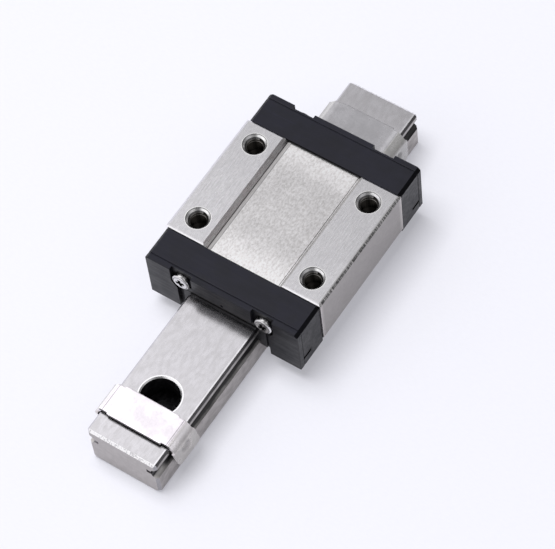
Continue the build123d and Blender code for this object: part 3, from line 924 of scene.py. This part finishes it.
def recess_cutter(length, width, depth, top):
    """Cross-shaped cutter that narrows towards the bottom of a screw's recess."""
    bm = bmesh.new()
    for quarter in (0, 1):
        blade = bmesh.ops.create_cube(bm, size=1.0)["verts"]
        for vert in blade:
            outer = vert.co.x > 0
            vert.co.x = top + CUTTER_RISE if outer else top - depth
            vert.co.y *= length * (1.0 if outer else RECESS_TAPER[0])
            vert.co.z *= width * (1.0 if outer else RECESS_TAPER[1])
        turned = Matrix.Rotation(math.pi / 2 * quarter, 3, "X")
        bmesh.ops.rotate(bm, verts=blade, matrix=turned)
    return mesh_from(bm, "recess")


def in_recess(centre):
    """Whether a face of the head, given by its centre, belongs to the recess."""
    below_face = 0.0 < centre.x < SCREW_HEAD_HEIGHT - 0.04 * MM
    return below_face and math.hypot(centre.y, centre.z) < RECESS_REACH


def screw_mesh():
    """Cross-recess screw whose head starts at x = 0 and whose shank runs towards -X.

    Also gives each face's material index: 1 inside the recess and 0 elsewhere.
    """
    head = grid_mesh("head", head_rows(SCREW_HEAD_RADIUS, SCREW_HEAD_HEIGHT), wrap=True)
    cap_ends(head)
    recess = recess_cutter(RECESS_LENGTH, RECESS_WIDTH, RECESS_DEPTH, SCREW_HEAD_HEIGHT)
    head = cut_with(head, "DIFFERENCE", recess, use_self=True)
    rows = thread_rows(SCREW_LENGTH, SCREW_MAJOR, SCREW_MINOR, SCREW_PITCH)
    shank = grid_mesh("shank", rows, wrap=True)
    cap_ends(shank)
    shank.transform(Matrix.Translation((OVERLAP - SCREW_LENGTH, 0, 0)))
    bm = bmesh.new()
    bm.from_mesh(head)
    bm.from_mesh(shank)
    mesh = mesh_from(bm, "screw")
    smooth_but_sharp(mesh, SCREW_SHARP_DEGREES)
    return mesh, [int(in_recess(polygon.center)) for polygon in mesh.polygons]


for end, facing in (("front", -1), ("rear", 1)):
    for hand, spin in SCREW_SPINS:
        node = f"{end}_{hand}_cap_screw"
        low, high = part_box(node)
        seat = (low + high) / 2
        seat.x = low.x + SCREW_HEAD_HEIGHT if facing < 0 else high.x - SCREW_HEAD_HEIGHT
        mesh, slots = screw_mesh()
        about = Matrix.Rotation(math.pi if facing < 0 else 0.0, 4, "Z")
        mesh.transform(Matrix.Translation(seat) @ about @ Matrix.Rotation(spin, 4, "X"))
        plating = MATERIALS["screw_plating"]
        screw = add_piece(f"{end}_{hand}_recess_screw", mesh, plating, "carriage")
        mesh.materials.append(SCREW_RECESS_SHADE)
        mesh.polygons.foreach_set("material_index", slots)
        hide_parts(node)


def tapped_thread(centre, root, crest, depth, pitch, around=28):
    """Ridge of an internal thread that winds down from just under a hole's mouth."""
    ridge = ((root, TAP_FLANK * pitch), (crest, 0.0), (root, -TAP_FLANK * pitch))
    rows = []
    for i in range(round(depth / pitch * around) + 1):
        angle = 2 * math.pi * i / around
        z = centre.z - pitch * i / around
        rows.append([
            (centre.x + r * math.cos(angle), centre.y + r * math.sin(angle), z + rise)
            for r, rise in ridge
        ])
    mesh = grid_mesh("thread", rows, wrap=True)
    cap_ends(mesh)
    return mesh


for i, centre in enumerate(pattern_holes("carriage_bolts")):
    mouth = centre - Vector((0, 0, TAP_START))
    mesh = tapped_thread(mouth, TAP_RADIUS + OVERLAP, TAP_CREST_RADIUS, TAP_DEPTH, TAP_PITCH)
    add_piece(f"bolt_thread_{i + 1}", mesh, MATERIALS["block_steel"], "carriage")


# ------------------------------------------------------------------ moulded caps and seal plates
MOULD_RADIUS = 0.15 * MM
MOULD_MARGIN = 0.002 * MM           # the rounding box stands this far off the flat faces
WELD_DISTANCE = 0.0005 * MM
MOULD_SHARP_DEGREES = 5


def rounded_box(low, high, radius):
    """Closed box with rounded edges that cuts the sharp corners off what it meets."""
    bm = bmesh.new()
    verts = bmesh.ops.create_cube(bm, size=1.0)["verts"]
    size = high - low
    middle = (low + high) / 2
    for vert in verts:
        vert.co = Vector(c * s for c, s in zip(vert.co, size)) + middle
    bmesh.ops.bevel(
        bm, geom=bm.edges[:], offset=radius, segments=4, profile=0.5, affect="EDGES"
    )
    return mesh_from(bm, "rounding")


def moulded(node):
    """Copy of a CAD part with the corners of its outer box rounded like a moulding."""
    bm = bmesh.new()
    bm.from_mesh(nodes[node].data)
    bmesh.ops.remove_doubles(bm, verts=bm.verts, dist=WELD_DISTANCE)
    source = mesh_from(bm, node)
    low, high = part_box(node)
    margin = Vector((1, 1, 1)) * MOULD_MARGIN
    rounding = rounded_box(low - margin, high + margin, MOULD_RADIUS)
    return cut_with(source, "INTERSECT", rounding, degrees=MOULD_SHARP_DEGREES)


for end in ("front", "rear"):
    for kind in ("end_cap", "seal_plate"):
        node = f"{end}_{kind}"
        plastic = MATERIALS["cap_plastic"]
        part = add_piece(f"{node}_moulded", moulded(node), plastic, "carriage")
        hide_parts(node)


# ------------------------------------------------------------------ stage, light and camera
FLOOR_HALF = 3.0
DIM_STRENGTH = 0.18
# glows: direction, the dot products where each starts and is full, strength
GLOWS = (
    ((0.1, 0.42, 0.90), 0.89, 0.985, 1.22),         # overhead
    ((-0.85, 0.45, 0.30), 0.70, 0.95, 0.9),         # low in front
    ((0.0, 0.90, 0.43), 0.64, 0.97, 0.55),          # left
    ((0.0, -0.62, 0.78), 0.80, 0.97, 0.55),         # high on the right
)


def paper_white():
    """Seamless white paper, lit a little from below as on a light table."""
    s = Shader("paper", (0.42, 0.42, 0.43), 0.8, 0.0, Specular_IOR_Level=0.0)
    fibre = s.noise(2500, 4, 0.6, (1, 0.4, 1))
    s.color(s.mix(s.upper(fibre, 0.2), (0.405, 0.405, 0.437), (0.415, 0.415, 0.447)))
    s.bsdf.inputs["Emission Color"].default_value = (0.93, 0.93, 1.0, 1)
    s.bsdf.inputs["Emission Strength"].default_value = 0.34
    s.bump(fibre, 0.004 * MM, 0.3)
    return s.material


def make_floor(half):
    mesh = bpy.data.meshes.new("floor")
    corners = [(-half, -half, 0), (half, -half, 0), (half, half, 0), (-half, half, 0)]
    mesh.from_pydata(corners, [], [(0, 1, 2, 3)])
    mesh.materials.append(paper_white())
    floor = new_object("floor", mesh)


def studio_world(dim, glows):
    """Dim surroundings with soft glows, each given as direction, dot range and strength."""
    world = bpy.data.worlds.new("studio")
    world.use_nodes = True
    tree = world.node_tree
    coords = tree.nodes.new("ShaderNodeTexCoord")
    total = None
    for towards, low, high, strength in glows:
        facing = tree.nodes.new("ShaderNodeVectorMath")
        facing.operation = "DOT_PRODUCT"
        facing.inputs[1].default_value = Vector(towards).normalized()
        ramp = tree.nodes.new("ShaderNodeMapRange")
        ramp.interpolation_type = "SMOOTHSTEP"
        limits = {"From Min": low, "From Max": high, "To Min": 0.0, "To Max": strength}
        for key, value in limits.items():
            ramp.inputs[key].default_value = value
        add = tree.nodes.new("ShaderNodeMath")
        add.inputs[1].default_value = dim
        tree.links.new(coords.outputs["Generated"], facing.inputs[0])
        tree.links.new(facing.outputs["Value"], ramp.inputs["Value"])
        tree.links.new(ramp.outputs["Result"], add.inputs[0])
        if total is not None:
            tree.links.new(total, add.inputs[1])
        total = add.outputs[0]
    background = tree.nodes["Background"]
    background.inputs["Color"].default_value = (0.98, 0.98, 1.0, 1)
    tree.links.new(total, background.inputs["Strength"])
    bpy.context.scene.world = world


def key_light(direction, distance, side, power):
    """Square area light aimed at the origin; the steel shows only the world's glows."""
    light = bpy.data.lights.new("key", "AREA")
    light.shape = "RECTANGLE"
    light.size = light.size_y = side
    light.energy = power
    lamp = new_object("key", light)
    lamp.location = Vector(direction).normalized() * distance
    lamp.rotation_euler = (-lamp.location).to_track_quat("-Z", "Y").to_euler()
    lamp.visible_glossy = False


make_floor(FLOOR_HALF)
studio_world(DIM_STRENGTH, GLOWS)
key_light(direction=(-0.05, 0.19, 0.97), distance=0.9, side=0.48, power=8.75)
bpy.context.scene.view_settings.view_transform = "Standard"

AIM = Vector((0.55, -3.35, 8.0)) * MM
VIEW = Vector((-0.3951, -0.3361, 0.8550))     # from the aim point towards the camera
DISTANCE = 433.4 * MM
ROLL = math.radians(-8.2)
LENS_MM = 192.4
SENSOR_MM = 36.0
CLIP_START = 0.01
camera_data = bpy.data.cameras.new("camera")
camera_data.lens = LENS_MM
camera_data.sensor_width = SENSOR_MM
camera_data.clip_start = CLIP_START
camera = new_object("camera", camera_data)
turn = VIEW.to_track_quat("Z", "Y").to_matrix() @ Matrix.Rotation(ROLL, 3, "Z")
camera.matrix_world = Matrix.Translation(AIM + VIEW.normalized() * DISTANCE) @ turn.to_4x4()
bpy.context.scene.camera = camera
